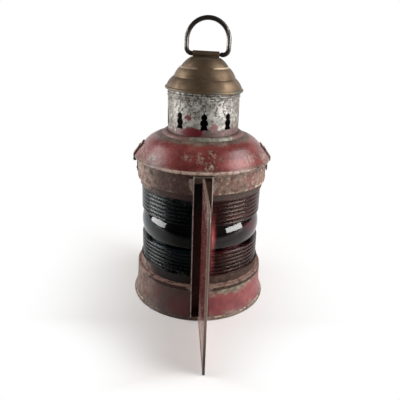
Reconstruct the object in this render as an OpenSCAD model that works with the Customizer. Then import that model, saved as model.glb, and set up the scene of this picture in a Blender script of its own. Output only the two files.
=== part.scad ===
// Ship bow lantern: two ribbed lenses, green and red, parted by an upright screen,
// on a flared base, under a hinged lid with a vented chimney, a stepped cap and a hanging ring.
// Millimetres. +Z is up, the front faces -Y, and the origin is the centre of the rim it stands on.

/* [Lens] */
// Radius over the ribs of the lens
lens_r = 53.5; // [51:0.5:56]
// Thickness of the glass from the inner face to the ribs' crests
lens_wall = 6; // [5:0.5:6.5]
// Height of the glass
lens_h = 92; // [84:2:100]
// Height of the smooth belt around the middle of the glass
belt_h = 24; // [20:2:28]
// How far the belt bulges
belt_bulge = 1.4; // [0.8:0.1:1.8]
// Height of one rib
rib_pitch = 4; // [3:0.25:5]
// How far a rib's crest stands out
rib_depth = 1.6; // [1:0.1:2]
// Height of the plain margin above and below the ribs
lens_margin = 6; // [4:0.5:8]
// Angle that one lens takes up, in degrees
lens_arc = 100; // [90:1:104]
// How far the channel strip laps over the rear edge of a lens
channel_grip = 4.2; // [3:0.1:6]

/* [Base] */
// Thickness of the sheet metal
sheet_t = 0.8; // [0.6:0.1:1]
// Height of the flared skirt
skirt_h = 27.5; // [22:0.5:34]
// How far the rolled rim stands outside the top of the skirt
skirt_flare = 4; // [3:0.25:6]
// Diameter of the rolled rim at the foot
rim_d = 3.2; // [2.6:0.1:4]
// Width of the ledge outside the lens
ledge_w = 4.5; // [4:0.25:6]
// Height of the band under the ledge
ledge_h = 4; // [3:0.5:6]
// Height of the lip that holds the foot of the lens
seat_lip_h = 5; // [4:0.5:7]
// Diameter of one air hole in the floor
air_hole_d = 6; // [4:0.5:7]
// Number of air holes in the floor
air_holes = 9; // [6:1:12]

/* [Collar] */
// How far the collar stands outside the ribs of the lens
collar_w = 3.3; // [3:0.1:4]
// How far the collar's outer band hangs below the top of the glass
collar_cover = 9.1; // [7:0.1:11]
// Height of the collar's lower lip
collar_lip_h = 5; // [4:0.5:7]

/* [Screen] */
// Width of the channel post between the lenses
post_w = 15.6; // [14:0.2:18]
// How far the post's back wall is set in from the ribs
post_set_in = 4.3; // [4:0.1:4.8]
// Depth of the post's flanges
post_depth = 11.3; // [10:0.1:12]
// Length of the screen from the post's back wall to its front edge
fin_len = 80; // [60:1:100]
// How far the screen's top edge lies below the top of the glass
fin_drop = 3.6; // [2:0.2:10]
// Radius of the screen's upper front corner
fin_corner_r = 45; // [20:1:55]
// Thickness of the screen's sheet
fin_t = 1; // [0.8:0.1:1.4]
// Thickness of the folded hem round the screen
hem_t = 2; // [1.6:0.1:2.6]
// Width of the folded hem round the screen
hem_w = 2.6; // [2:0.1:4]
// Clearance under the screen
fin_lift = 0.4; // [0.2:0.1:1]

/* [Lid] */
// How far the lid's rim stands outside the collar
lid_over = 2.9; // [2.6:0.1:3.6]
// Height of the lid's rim above the top of the glass
lid_seat = 9.4; // [9:0.1:12]
// Diameter of the lid's rolled rim
lid_rim_d = 2.4; // [2:0.1:2.8]
// Height of the dome from its rim to the chimney
lid_rise = 20.3; // [17:0.1:24]
// How far in from the rim the dome's flank leans
flank_in = 4.5; // [3.5:0.1:5.5]
// Height above the rim that the dome's flank leans towards
flank_rise = 6.9; // [6:0.1:8]
// How far in from the rim the dome's shoulder turns
shoulder_in = 16.8; // [15:0.1:18]
// How far the dome's shoulder lies below the chimney's foot
shoulder_drop = 0.6; // [0.3:0.1:1.5]
// Width of the hinge and catch straps
strap_w = 14; // [12:0.5:18]
// Thickness of the hinge and catch straps
strap_t = 1; // [0.8:0.1:1.2]
// How far up the dome the straps reach above the rim
strap_rise = 11; // [8:0.1:12]
// Radius of the hinge's knuckles
knuckle_r = 1.65; // [1.4:0.05:1.9]
// Diameter of the hinge pin
pin_d = 1.6; // [1.2:0.1:1.8]

/* [Chimney] */
// Outer radius of the chimney
chimney_r = 30.6; // [28:0.2:33]
// Height of the cap's rim above the foot of the chimney
chimney_h = 37.8; // [34:0.2:44]
// Thickness of the soldered bead at the chimney's foot
foot_bead_d = 5; // [4:0.2:6]
// Number of vent slots
slots = 9; // [7:1:11]
// Height of a vent slot
slot_h = 14.2; // [12:0.1:15]
// Width of a vent slot's foot
slot_w = 6.6; // [5:0.1:7]
// Height of the slots' feet above the foot of the chimney
slot_lift = 7.7; // [7:0.1:10]
// How far a pressed bead stands out of the chimney
groove_d = 0.5; // [0.3:0.05:0.6]
// Radius of the draught tube inside the chimney
draught_r = 21; // [18:0.5:24]

/* [Cap and ring] */
// How far the cap's rim stands outside the chimney
cap_over = 2.7; // [2.6:0.1:4]
// Height of the cap above the middle of its rim
cap_h = 24.9; // [22:0.1:28]
// Radius of the cap at the top of its lowest step
cap_low_r = 27.5; // [25:0.1:28.5]
// Height of the cap's lowest step above the middle of the rim
cap_low_h = 8.9; // [8:0.1:10]
// Radius of the cap at the top of its middle step
cap_mid_r = 21.6; // [19:0.1:23]
// Height of the cap's middle step above the middle of the rim
cap_mid_h = 16.4; // [15:0.1:18]
// Radius of the flat on top of the cap
cap_top_r = 12.5; // [11:0.1:14]
// How far each step of the cap bulges
cap_bulge = 0.5; // [0.3:0.1:1]
// Diameter of the cap's rolled rim
cap_rim_d = 2.4; // [2:0.1:2.6]
// Diameter of the ring's wire
wire_d = 3.8; // [3:0.1:4]
// Diameter of the ring's pivot inside its sleeve
pivot_d = 3.2; // [2.6:0.1:3.4]
// Width of the ring outside
ring_w = 38.6; // [36:0.2:42]
// Height of the ring's middle above its pivot
ring_mid = 10.8; // [10:0.1:11.4]
// Wall of the ring's sleeve
sleeve_t = 0.9; // [0.7:0.05:1.1]

/* [Bracket socket] */
// Inner width of the socket on the back
socket_w = 26; // [20:1:30]
// Depth of the socket's slot
socket_d = 6; // [5:0.5:8]
// Height of the socket
socket_h = 36; // [28:1:44]
// Thickness of the socket's plate
socket_t = 1.2; // [1:0.1:1.6]
// Width of the socket's flanges
socket_flange = 8; // [6:0.5:9]
// Height of the socket above the lens seat
socket_lift = 30; // [20:1:34]

/* [Lamp] */
// Radius of the font
font_r = 43; // [36:1:44]
// Height of the font
font_h = 22; // [20:1:26]
// Radius of the font's neck
neck_r = 11; // [10.6:0.1:12]
// Width of the wick
wick_w = 14; // [11:0.5:14.5]
// Thickness of the wick
wick_t = 3; // [2.4:0.1:3.4]
// Half of the wick's travel
wick_travel = 6.3; // [4:0.1:7]
// Radius of the spur wheels over their teeth
wheel_r = 3.5; // [3:0.1:3.8]
// Number of teeth on a spur wheel
wheel_teeth = 12; // [10:1:16]
// Diameter of the wick spindle
spindle_d = 2.4; // [2:0.1:2.8]
// Radius of the wick knob
knob_r = 6; // [5:0.25:8]
// Radius of the burner's air cup
cup_r = 18; // [16:0.5:20]
// Height of the burner's air cup
cup_h = 14; // [12:0.5:16]
// Height of the flame guide over the cup
cone_h = 14; // [13:0.5:18]

/* [Fits] */
// Gap in a soldered or seated joint
seat_gap = 0.05; // [0.03:0.01:0.1]
// Radial clearance of a turning pin
run_gap = 0.05; // [0.03:0.01:0.09]
// Gap around the glass
lens_gap = 0.3; // [0.2:0.05:0.4]
// Gap between the lid and the collar
lid_gap = 0.45; // [0.4:0.05:0.5]
// Gap between the wick and what it passes
wick_gap = 0.3; // [0.25:0.05:0.4]

/* [Hidden] */
$fn = 96;
far = 200;
front = -90;
red_paint = "#8c4a46";
galvanised = "#b4b0a8";
old_brass = "#6e5a44";
lamp_brass = "#b08d4a";
iron = "#3c3836";

// Base and lens seat
rim_flat = 0.3;
rim_c = rim_d / 2 - rim_flat;
rim_top = rim_c + rim_d / 2;
skirt_r = lens_r + ledge_w;
foot_r = skirt_r + skirt_flare;
floor_top = rim_top + seat_gap + sheet_t;
seat_z = skirt_h + ledge_h;
lip_r = lens_r + lens_gap;
bore_r = lens_r - lens_wall - 1;
ledge_edge = 0.6;

// Lens
lens_z = seat_z + seat_gap;
lens_top = lens_z + lens_h;
lens_mid = lens_h / 2;
lens_root_r = lens_r - rib_depth;
ribs = floor((lens_h - belt_h - 2 * lens_margin) / 2 / rib_pitch);
post_back = lens_r - post_set_in;
post_in = post_back + sheet_t;
post_front = post_back + post_depth;
lens_from = atan((post_w / 2 + lens_gap) / post_back);
lens_to = lens_from + lens_arc;
deg_per_mm = 180 / PI / lens_r;
web_deg = sheet_t * deg_per_mm;
channel_from = lens_to + lens_gap * deg_per_mm;
shell_from = channel_from + web_deg + 2 * seat_gap * deg_per_mm;
grip_deg = channel_grip * deg_per_mm;
shell_r = lip_r - seat_gap;

// Collar and lid
collar_r = lens_r + collar_w;
step_z = lens_top - collar_cover;
collar_lip_z = step_z - collar_lip_h;
dome_r = collar_r + lid_over;
lid_z = lens_top + lid_seat;
neck_z = lid_z + lid_rise;
post_top = lid_z - lid_rim_d / 2 - 0.6;
dome_start = [dome_r - 0.2 * lid_rim_d, lid_z + 0.38 * lid_rim_d];
dome_flank = [dome_r - flank_in, lid_z + flank_rise];
dome_shoulder = [dome_r - shoulder_in, neck_z - shoulder_drop];
dome_bend = (dome_flank + dome_shoulder) / 2;
dome_neck = [chimney_r + seat_gap + 0.4 * sheet_t, neck_z];
dome_steps = 9;
dome_line = concat(
    bezier(dome_start, dome_flank, dome_bend, dome_steps),
    [for (p = bezier(dome_bend, dome_shoulder, dome_neck, dome_steps)) if (p[0] < dome_bend[0] - 0.1) p]
);
dome_inner = inset_line(dome_line, sheet_t);
collar_top = lookup(collar_r, dome_inner) - lid_gap;

// Hinge and catch
hinge_r = collar_r + lid_gap + knuckle_r;
hinge_z = lid_z - lid_rim_d / 2 - 0.35 - knuckle_r;
strap_r = dome_r + seat_gap;
strap_half_deg = strap_w / 2 / dome_r * 180 / PI;
tongue_w = strap_w * 0.33;
knuckle_gap = 0.25;
leaf_drop = 11;
strap_line = concat(
    [[strap_r, lid_z + lid_rim_d / 5]],
    [for (p = inset_line(dome_line, -seat_gap))
        if (p[1] > lid_z + lid_rim_d * 4 / 3 && p[1] < lid_z + strap_rise) p]
);
tail_r = collar_r + lid_gap + 0.1;

// Chimney and cap
chimney_foot = neck_z - 2;
cap_z = neck_z + chimney_h;
cap_r = chimney_r + cap_over;
cap_top = cap_z + cap_h;
cap_radii = [cap_r - cap_rim_d * 0.45, cap_low_r, cap_mid_r, cap_top_r];
cap_levels = [cap_rim_d * 0.38, cap_low_h, cap_mid_h, cap_h];
band_steps = 6;
cap_line = concat(
    band_line(0, band_steps),
    band_line(1, band_steps),
    band_line(2, band_steps)
);
cap_inner = inset_line(cap_line, sheet_t);
chimney_top = lookup(chimney_r, cap_inner) - seat_gap;
bead_levels = [cap_z - 5.7, cap_z - 3.4];

// Ring
wire_r = wire_d / 2;
ring_r = ring_w / 2 - wire_r;
pivot_r = pivot_d / 2;
sleeve_r = pivot_r + run_gap + sleeve_t;
pivot_half = sqrt(pow(ring_r, 2) - pow(ring_mid, 2)) - 0.3;
ring_end = asin(ring_mid / ring_r) + 1.4 / ring_r * 180 / PI;
ring_low = (ring_r + wire_r) * sin(ring_end) - ring_mid;
ring_z = cap_top + max(sleeve_r + seat_gap, ring_low + 0.3);
sleeve_len = 2 * ((ring_r - wire_r) * cos(ring_end) - 0.3);

// Lamp
font_z = floor_top + seat_gap;
font_top = font_z + font_h;
collar_ring_h = 4;
burner_z = font_top + collar_ring_h + seat_gap;
burner_plate = 2;
cup_z = burner_z + burner_plate + seat_gap;
cone_z = cup_z + cup_h + seat_gap;
cone_top = cone_z + cone_h;
tube_wall = 0.8;
tube_w = wick_w + 2 * wick_gap;
tube_d = wick_t + 2 * wick_gap;
tube_bottom = font_top - 2;
tube_top = cone_top - 3;
spindle_r = spindle_d / 2;
spindle_y = -(wick_t / 2 + 0.2 + wheel_r);
spindle_z = cup_z + cup_h * 0.55;
wheel_w = 2.4;
wheel_x = tube_w / 4;
lug_t = 1.1;
lug_x = tube_w / 2 - 0.3;
knob_t = 3.5;
knob_x = cup_r + 2.5;
filler_y = font_r * 0.63;
filler_r = 5;

// Points along a curve from a to c that leans towards b
function bezier(a, b, c, n) =
    [for (i = [0:n]) let (t = i / n) (1 - t) * (1 - t) * a + 2 * t * (1 - t) * b + t * t * c];

// The unit vector to the left of a line of points, at one of its points
function left_of(line, i) =
    let (d = line[min(i + 1, len(line) - 1)] - line[max(i - 1, 0)]) [-d[1], d[0]] / norm(d);

// A line of points moved to its left, which is towards the axis on a line that climbs
function inset_line(line, by) = [for (i = [0:len(line) - 1]) line[i] + by * left_of(line, i)];

// The section of a sheet whose outer face follows a line
function sheet(line, t) =
    concat(line, [for (i = [len(line) - 1:-1:0]) line[i] + t * left_of(line, i)]);

// The outer face of one step of the cap
function band_line(k, n) =
    let (
        a = [cap_radii[k], cap_z + cap_levels[k]],
        c = [cap_radii[k + 1], cap_z + cap_levels[k + 1]],
        out = -left_of([a, c], 0)
    )
    bezier(a, (a + c) / 2 + 2 * cap_bulge * out, c, n);

// A section turned about the axis from one angle to another, counted from the front
module sector(from, to) {
    rotate([0, 0, front + from]) rotate_extrude(angle = to - from) children();
}

// Room for the post in what it passes through, above a height
module post_notch(bottom, top) {
    translate([-post_w / 2 - seat_gap, -far, bottom])
        cube([post_w + 2 * seat_gap, far - post_back + seat_gap, top - bottom]);
}

module base_skirt() {
    wall = bezier(
        [foot_r - 0.35 * rim_d, rim_c + 0.35 * rim_d],
        [skirt_r + 0.3, 0.35 * skirt_h],
        [skirt_r, skirt_h],
        12
    );
    color(red_paint) {
        rotate_extrude() intersection() {
            translate([foot_r - rim_d / 2, rim_c]) circle(d = rim_d, $fn = 32);
            square([far, far]);
        }
        difference() {
            rotate_extrude() polygon(sheet(wall, sheet_t));
            post_notch(rim_top + seat_gap, far);
        }
    }
}

module base_floor() {
    floor_r = foot_r - rim_d / 2 - sheet_t - 0.15;
    color(galvanised) difference() {
        translate([0, 0, rim_top + seat_gap]) cylinder(r = floor_r, h = sheet_t);
        post_notch(0, far);
        for (i = [0:air_holes - 1])
            rotate([0, 0, front + (i + 0.5) * 360 / air_holes])
                translate([(font_r + floor_r) / 2, 0, 0]) cylinder(d = air_hole_d, h = far, $fn = 32);
    }
}

module lens_seat() {
    lip_out = lip_r + sheet_t;
    lip_top = seat_z + seat_lip_h;
    color(red_paint) difference() {
        rotate_extrude() polygon([
            [skirt_r, skirt_h + seat_gap],
            [skirt_r, seat_z - ledge_edge],
            [skirt_r - ledge_edge, seat_z],
            [lip_out, seat_z],
            [lip_out, lip_top],
            [lip_r, lip_top],
            [lip_r, seat_z],
            [bore_r, seat_z],
            [bore_r, seat_z - sheet_t],
            [skirt_r - sheet_t, seat_z - sheet_t],
            [skirt_r - sheet_t, skirt_h + seat_gap]
        ]);
        post_notch(0, far);
    }
}

module back_shell() {
    color(red_paint) sector(shell_from, 360 - shell_from)
        translate([shell_r - sheet_t, lens_z]) square([sheet_t, lens_h]);
}

// A wedge of the plan between two angles, counted from the front
module wedge(from, to) {
    reach = 2 * lens_r;
    polygon([
        [0, 0],
        reach * [sin(from), -cos(from)],
        reach * [sin(to), -cos(to)]
    ]);
}

// A strip folded round the rear edge of one lens, between the seat's lip and the collar's
module lens_channel() {
    bottom = seat_z + seat_lip_h + seat_gap;
    inner_r = lens_r - lens_wall - lens_gap;
    translate([0, 0, bottom]) linear_extrude(height = collar_lip_z - seat_gap - bottom) difference() {
        intersection() {
            circle(r = lip_r + sheet_t);
            wedge(lens_to - grip_deg, channel_from + web_deg);
        }
        circle(r = inner_r - sheet_t);
        intersection() {
            difference() {
                circle(r = lip_r);
                circle(r = inner_r);
            }
            wedge(lens_to - 2 * grip_deg, channel_from);
        }
    }
}

module lens_channels() {
    color(red_paint) {
        lens_channel();
        mirror([1, 0, 0]) lens_channel();
    }
}

module upper_collar() {
    lip_out = lip_r + sheet_t;
    color(red_paint) difference() {
        rotate_extrude() polygon([
            [lip_r, collar_lip_z],
            [lip_out, collar_lip_z],
            [lip_out, step_z],
            [collar_r - 0.5, step_z],
            [collar_r, step_z + 0.5],
            [collar_r, collar_top],
            [collar_r - sheet_t, collar_top],
            [collar_r - sheet_t, step_z + sheet_t],
            [lip_r, step_z + sheet_t]
        ]);
        post_notch(0, post_top + seat_gap);
    }
}

module lens_retainer() {
    color(galvanised) difference() {
        rotate_extrude() translate([bore_r, lens_top + seat_gap])
            square([collar_r - sheet_t - seat_gap - bore_r, sheet_t]);
        post_notch(0, far);
    }
}

// Outer face of the lower half of the glass, from its foot up to the belt: each rib slopes out
// towards the belt and steps back in
function lower_ribs() =
    [for (i = [ribs - 1:-1:0], k = [0:2])
        let (foot = lens_mid - belt_h / 2 - (i + 1) * rib_pitch)
        k == 0 ? [lens_root_r, foot] :
        k == 1 ? [lens_r - 0.15, foot + 0.72 * rib_pitch] : [lens_r - 0.15, foot + 0.9 * rib_pitch]
    ];

// One lens: a plain inner face, a bulging belt and prism ribs above and below it
module lens_section() {
    low = lower_ribs();
    high = [for (i = [len(low) - 1:-1:0]) [low[i][0], lens_h - low[i][1]]];
    belt = bezier(
        [lens_r - belt_bulge, lens_mid - belt_h / 2],
        [lens_r + belt_bulge, lens_mid],
        [lens_r - belt_bulge, lens_mid + belt_h / 2],
        8
    );
    inner_r = lens_r - lens_wall;
    translate([0, lens_z]) polygon(concat(
        [[inner_r, 0], [lens_root_r, 0]],
        low, belt, high,
        [[lens_root_r, lens_h], [inner_r, lens_h]]
    ));
}

module green_lens() {
    color("#123a35") sector(-lens_to, -lens_from) lens_section();
}

module red_lens() {
    color("#4a0d18") sector(lens_from, lens_to) lens_section();
}

// A three-cornered tab on a round band beside the post, given by the band's radius
module post_tab(band_r, bottom, top) {
    tab_w = 4;
    intersection() {
        sector(0, 30) translate([band_r + seat_gap, bottom]) square([sheet_t, top - bottom]);
        rotate([90, 0, 0]) linear_extrude(height = far) polygon([
            [post_w / 2 - 0.3, bottom],
            [post_w / 2 + tab_w, (bottom + 2 * top) / 3],
            [post_w / 2 + tab_w * 0.7, top],
            [post_w / 2 - 0.3, top]
        ]);
    }
}

module centre_post() {
    foot = rim_top + seat_gap;
    color(red_paint) {
        translate([0, 0, foot]) linear_extrude(height = post_top - foot) difference() {
            translate([-post_w / 2, -post_front]) square([post_w, post_depth]);
            translate([-post_w / 2 + sheet_t, -far])
                square([post_w - 2 * sheet_t, far - post_in]);
        }
        for (z = [foot, post_top - sheet_t])
            translate([-post_w / 2, -post_front, z]) cube([post_w, post_depth, sheet_t]);
        for (side = [0, 1]) mirror([side, 0, 0]) {
            post_tab(collar_r, step_z + 0.6, post_top - 3);
            post_tab(skirt_r, skirt_h + 0.3, seat_z - ledge_edge);
        }
    }
}

// Outline of the screen, drawn forward and up, less a margin
module fin_outline(inset) {
    back = post_in + seat_gap;
    tip = post_in + fin_len - inset;
    low = fin_lift + inset;
    high = lens_top - fin_drop - inset;
    corner = fin_corner_r - inset;
    translate([back, low]) square([tip - back, high - corner - low]);
    translate([back, low]) square([tip - corner - back, high - low]);
    translate([tip - corner, high - corner]) intersection() {
        circle(r = corner);
        square(corner + 1);
    }
}

module screen_fin() {
    rim_room = foot_r + 0.3;
    color(red_paint) rotate([90, 0, -90]) {
        linear_extrude(height = fin_t, center = true) difference() {
            fin_outline(0);
            square([rim_room, floor_top + seat_gap]);
        }
        linear_extrude(height = hem_t, center = true) difference() {
            fin_outline(0);
            fin_outline(hem_w);
            square([rim_room, floor_top + seat_gap]);
            square([post_front + 1, far]);
        }
    }
}

module bracket_socket() {
    seat = shell_r + seat_gap;
    inner = socket_w / 2;
    color(iron) translate([0, 0, seat_z + socket_lift]) linear_extrude(height = socket_h) {
        difference() {
            translate([-inner - socket_t, 0])
                square([2 * (inner + socket_t), shell_r + socket_d + socket_t]);
            translate([-inner, 0]) square([2 * inner, shell_r + socket_d]);
            circle(r = seat);
        }
        for (side = [0, 1]) mirror([side, 0]) intersection() {
            difference() {
                circle(r = seat + socket_t);
                circle(r = seat);
            }
            translate([inner, 0]) square([socket_flange, far]);
        }
    }
}

// A knuckle of the hinge between two places along its pin
module knuckle(from, to, hole_r) {
    translate([-hinge_r, to, hinge_z]) rotate([90, 0, 0]) difference() {
        cylinder(r = knuckle_r, h = to - from, $fn = 48);
        translate([0, 0, -1]) cylinder(r = hole_r, h = to - from + 2, $fn = 48);
    }
}

module hinge_lower_leaf() {
    hole_r = pin_d / 2 + 0.02;
    inner = tongue_w / 2 + knuckle_gap;
    color(iron) {
        difference() {
            sector(270 - strap_half_deg, 270 + strap_half_deg)
                translate([collar_r + seat_gap, hinge_z - leaf_drop])
                square([sheet_t, leaf_drop]);
            translate([-far, -inner, hinge_z - knuckle_r - 0.4]) cube([far, 2 * inner, far]);
            translate([-hinge_r, far / 2, hinge_z]) rotate([90, 0, 0])
                cylinder(r = hole_r, h = far, $fn = 48);
        }
        knuckle(inner, strap_w / 2, hole_r);
        knuckle(-strap_w / 2, -inner, hole_r);
    }
}

module hinge_pin() {
    half = strap_w / 2 + seat_gap;
    color(iron) translate([-hinge_r, 0, hinge_z]) rotate([90, 0, 0]) {
        cylinder(d = pin_d, h = 2 * half, center = true, $fn = 48);
        for (side = [-1, 1]) translate([0, 0, side * (half + 0.35)])
            cylinder(r = knuckle_r * 0.8, h = 0.7, center = true, $fn = 48);
    }
}

module font_clips() {
    clip_h = 10;
    clip_half_deg = 7;
    inner_r = font_r + 0.3;
    color(galvanised) for (i = [0:2])
        sector(60 + i * 120 - clip_half_deg, 60 + i * 120 + clip_half_deg)
            translate([inner_r, floor_top + seat_gap]) {
                square([sheet_t, clip_h]);
                square([4, sheet_t]);
            }
}

module font_tank() {
    line = [
        [0, font_z],
        [font_r - 2, font_z],
        [font_r, font_z + 2],
        [font_r, font_top - 5],
        [font_r - 1.5, font_top - 1.5],
        [font_r - 5, font_top],
        [neck_r, font_top]
    ];
    hollow = [
        [neck_r, font_top - tube_wall],
        [font_r - 5.3, font_top - tube_wall],
        [font_r - 2.1, font_top - 2.1],
        [font_r - tube_wall, font_top - 5.3],
        [font_r - tube_wall, font_z + 2.3],
        [font_r - 2.3, font_z + tube_wall],
        [0, font_z + tube_wall]
    ];
    color(lamp_brass) difference() {
        rotate_extrude() polygon(concat(line, hollow));
        translate([0, filler_y, font_top - 3]) cylinder(r = filler_r, h = 6, $fn = 48);
    }
}

module filler_cap() {
    cap_edge = filler_r + 2;
    color(lamp_brass) translate([0, filler_y, 0]) {
        translate([0, 0, font_top - 3]) cylinder(r = filler_r - seat_gap, h = 4, $fn = 48);
        translate([0, 0, font_top + seat_gap]) difference() {
            cylinder(r = cap_edge, h = 5, $fn = 48);
            for (i = [0:17]) rotate([0, 0, i * 20]) translate([cap_edge + 0.4, 0, -1])
                cylinder(r = 0.7, h = 7, $fn = 16);
        }
    }
}

module burner_collar() {
    color(lamp_brass) translate([0, 0, font_top + seat_gap]) difference() {
        cylinder(r = neck_r + 2, h = collar_ring_h - seat_gap);
        translate([0, 0, -1]) cylinder(r = neck_r, h = collar_ring_h + 2);
    }
}

module burner_base() {
    flange_r = neck_r + 4;
    color(lamp_brass) difference() {
        union() {
            translate([0, 0, burner_z]) cylinder(r = flange_r, h = burner_plate);
            translate([0, 0, font_top - 3]) difference() {
                cylinder(r = neck_r - seat_gap, h = burner_z - font_top + 3);
                translate([0, 0, -1]) cylinder(r = neck_r - 1.3, h = far);
            }
        }
        translate([0, 0, burner_z]) cube(
            [tube_w + 2 * (tube_wall + seat_gap), tube_d + 2 * (tube_wall + seat_gap), far], center = true
        );
        for (i = [0:23]) rotate([0, 0, i * 15]) translate([flange_r + 0.4, 0, burner_z - 1])
            cylinder(r = 0.8, h = burner_plate + 2, $fn = 16);
    }
}

module burner_cup() {
    vents = 12;
    vent_d = 3.2;
    color(lamp_brass) difference() {
        rotate_extrude() {
            translate([cup_r - tube_wall, cup_z]) square([tube_wall, cup_h]);
            translate([neck_r + 1, cup_z]) square([cup_r - neck_r - 1, tube_wall]);
        }
        for (i = [0:vents - 1]) rotate([0, 0, (i + 0.5) * 360 / vents])
            translate([0, 0, cup_z + 3.6]) rotate([0, 90, 0]) cylinder(d = vent_d, h = far, $fn = 32);
        translate([0, spindle_y, spindle_z]) rotate([0, 90, 0])
            cylinder(r = spindle_r + 0.6, h = far, $fn = 32);
    }
}

module burner_cone() {
    guide = bezier([cup_r, cone_z], [cup_r * 0.97, cone_top - 1], [0, cone_top], 12);
    slot_x = tube_w + 2 * tube_wall + 2.4;
    slot_y = tube_d + 2 * tube_wall + 2.4;
    color(lamp_brass) difference() {
        rotate_extrude() polygon(concat(
            guide,
            [[0, cone_top - tube_wall]],
            [for (i = [len(guide) - 2:-1:0]) guide[i] + tube_wall * left_of(guide, i)]
        ));
        translate([-slot_x / 2, -slot_y / 2, cone_top - 7]) cube([slot_x, slot_y, far]);
    }
}

module wick_tube() {
    out_w = tube_w + 2 * tube_wall;
    out_d = tube_d + 2 * tube_wall;
    lug_h = 2 * (spindle_r + 1.8);
    color(lamp_brass) difference() {
        union() {
            translate([-out_w / 2, -out_d / 2, tube_bottom]) cube([out_w, out_d, tube_top - tube_bottom]);
            for (side = [-1, 1]) translate([side * lug_x - lug_t / 2, spindle_y, spindle_z - lug_h / 2])
                cube([lug_t, -spindle_y, lug_h]);
            for (side = [-1, 1]) translate([side * lug_x - lug_t / 2, spindle_y, spindle_z])
                rotate([0, 90, 0]) cylinder(d = lug_h, h = lug_t, $fn = 48);
        }
        translate([-tube_w / 2, -tube_d / 2, 0]) cube([tube_w, tube_d, far]);
        translate([-lug_x + lug_t / 2, -far, spindle_z - wheel_r - 0.5])
            cube([2 * lug_x - lug_t, far, 2 * wheel_r + 1]);
        translate([-far / 2, spindle_y, spindle_z]) rotate([0, 90, 0])
            cylinder(r = spindle_r + run_gap, h = far, $fn = 48);
    }
}

// Section of the lid's rolled rim
module lid_rim_section() {
    translate([dome_r - lid_rim_d / 2, lid_z]) circle(d = lid_rim_d, $fn = 32);
}

module dome() {
    color(red_paint) {
        rotate_extrude() lid_rim_section();
        rotate_extrude() polygon(sheet(dome_line, sheet_t));
    }
}

module hinge_upper_leaf() {
    color(iron) difference() {
        union() {
            sector(270 - strap_half_deg, 270 + strap_half_deg)
                polygon(sheet(concat([[strap_r, hinge_z + knuckle_r + 0.3]], strap_line), -strap_t));
            translate([-strap_r - strap_t, -tongue_w / 2, hinge_z])
                cube([strap_t, tongue_w, knuckle_r + 1]);
            knuckle(-tongue_w / 2, tongue_w / 2, pin_d / 2);
        }
        translate([-hinge_r, far / 2, hinge_z]) rotate([90, 0, 0])
            cylinder(r = pin_d / 2 + run_gap, h = far, $fn = 48);
    }
}

module catch_strap() {
    tail = [
        [tail_r, lid_z - leaf_drop],
        [tail_r, lid_z - lid_rim_d * 4 / 3],
        [strap_r, lid_z - lid_rim_d * 2 / 3]
    ];
    color(iron) sector(90 - strap_half_deg, 90 + strap_half_deg)
        polygon(sheet(concat(tail, strap_line), -strap_t));
}

module chimney_bead() {
    above = inset_line(dome_line, -seat_gap);
    color(galvanised) rotate_extrude() difference() {
        translate([chimney_r + foot_bead_d * 0.38, neck_z]) circle(d = foot_bead_d, $fn = 32);
        square([chimney_r + seat_gap, far]);
        square([far, lid_z + flank_rise]);
        polygon(concat(above, [[0, neck_z + seat_gap], [0, lid_z]]));
    }
}

// A vent slot, drawn up from its foot: a flared foot, two lobes and a pointed tip
module slot_outline() {
    polygon([
        [-slot_w / 2, 0], [slot_w / 2, 0],
        [0.36 * slot_w, 0.22 * slot_h], [-0.36 * slot_w, 0.22 * slot_h]
    ]);
    translate([0, 0.4 * slot_h]) circle(r = 0.5 * slot_w, $fn = 32);
    translate([0, 0.74 * slot_h]) circle(r = 0.39 * slot_w, $fn = 32);
    polygon([[-0.22 * slot_w, 0.84 * slot_h], [0.22 * slot_w, 0.84 * slot_h], [0, slot_h]]);
}

module chimney() {
    pressed = [for (z = bead_levels, k = [0:3])
        [chimney_r + (k == 1 || k == 2 ? groove_d : 0), z + [-0.8, -0.3, 0.3, 0.8][k]]];
    inner_r = chimney_r - sheet_t;
    color(galvanised) difference() {
        rotate_extrude() polygon(concat(
            [[inner_r, chimney_foot], [chimney_r, chimney_foot]],
            pressed,
            [[chimney_r, chimney_top], [inner_r, chimney_top]]
        ));
        for (i = [0:slots - 1]) rotate([0, 0, i * 360 / slots])
            translate([0, 0, neck_z + slot_lift]) rotate([90, 0, 0])
            linear_extrude(height = far) slot_outline();
    }
}

module draught_tube() {
    line = [
        [chimney_r - sheet_t - seat_gap, chimney_foot],
        [chimney_r - sheet_t - seat_gap, chimney_foot + 1.5],
        [draught_r, neck_z + 6],
        [draught_r, cap_z - 3]
    ];
    color(galvanised) rotate_extrude() polygon(sheet(line, sheet_t));
}

module vent_cap() {
    color(old_brass) rotate_extrude() {
        translate([cap_r - cap_rim_d / 2, cap_z]) circle(d = cap_rim_d, $fn = 32);
        polygon(concat(
            cap_line,
            [[0, cap_top], [0, cap_top - sheet_t]],
            [for (i = [len(cap_line) - 1:-1:0])
                cap_line[i] + sheet_t * (i == len(cap_line) - 1 ? [-0.5, -1] : left_of(cap_line, i))]
        ));
    }
}

module ring_sleeve() {
    foot_w = 3.4;
    color(old_brass) difference() {
        union() {
            translate([-sleeve_len / 2, 0, ring_z]) rotate([0, 90, 0])
                cylinder(r = sleeve_r, h = sleeve_len, $fn = 48);
            translate([-sleeve_len / 2, -foot_w / 2, cap_top + seat_gap])
                cube([sleeve_len, foot_w, ring_z - cap_top - seat_gap]);
        }
        translate([-far / 2, 0, ring_z]) rotate([0, 90, 0])
            cylinder(r = pivot_r + run_gap, h = far, $fn = 48);
    }
}

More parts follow.
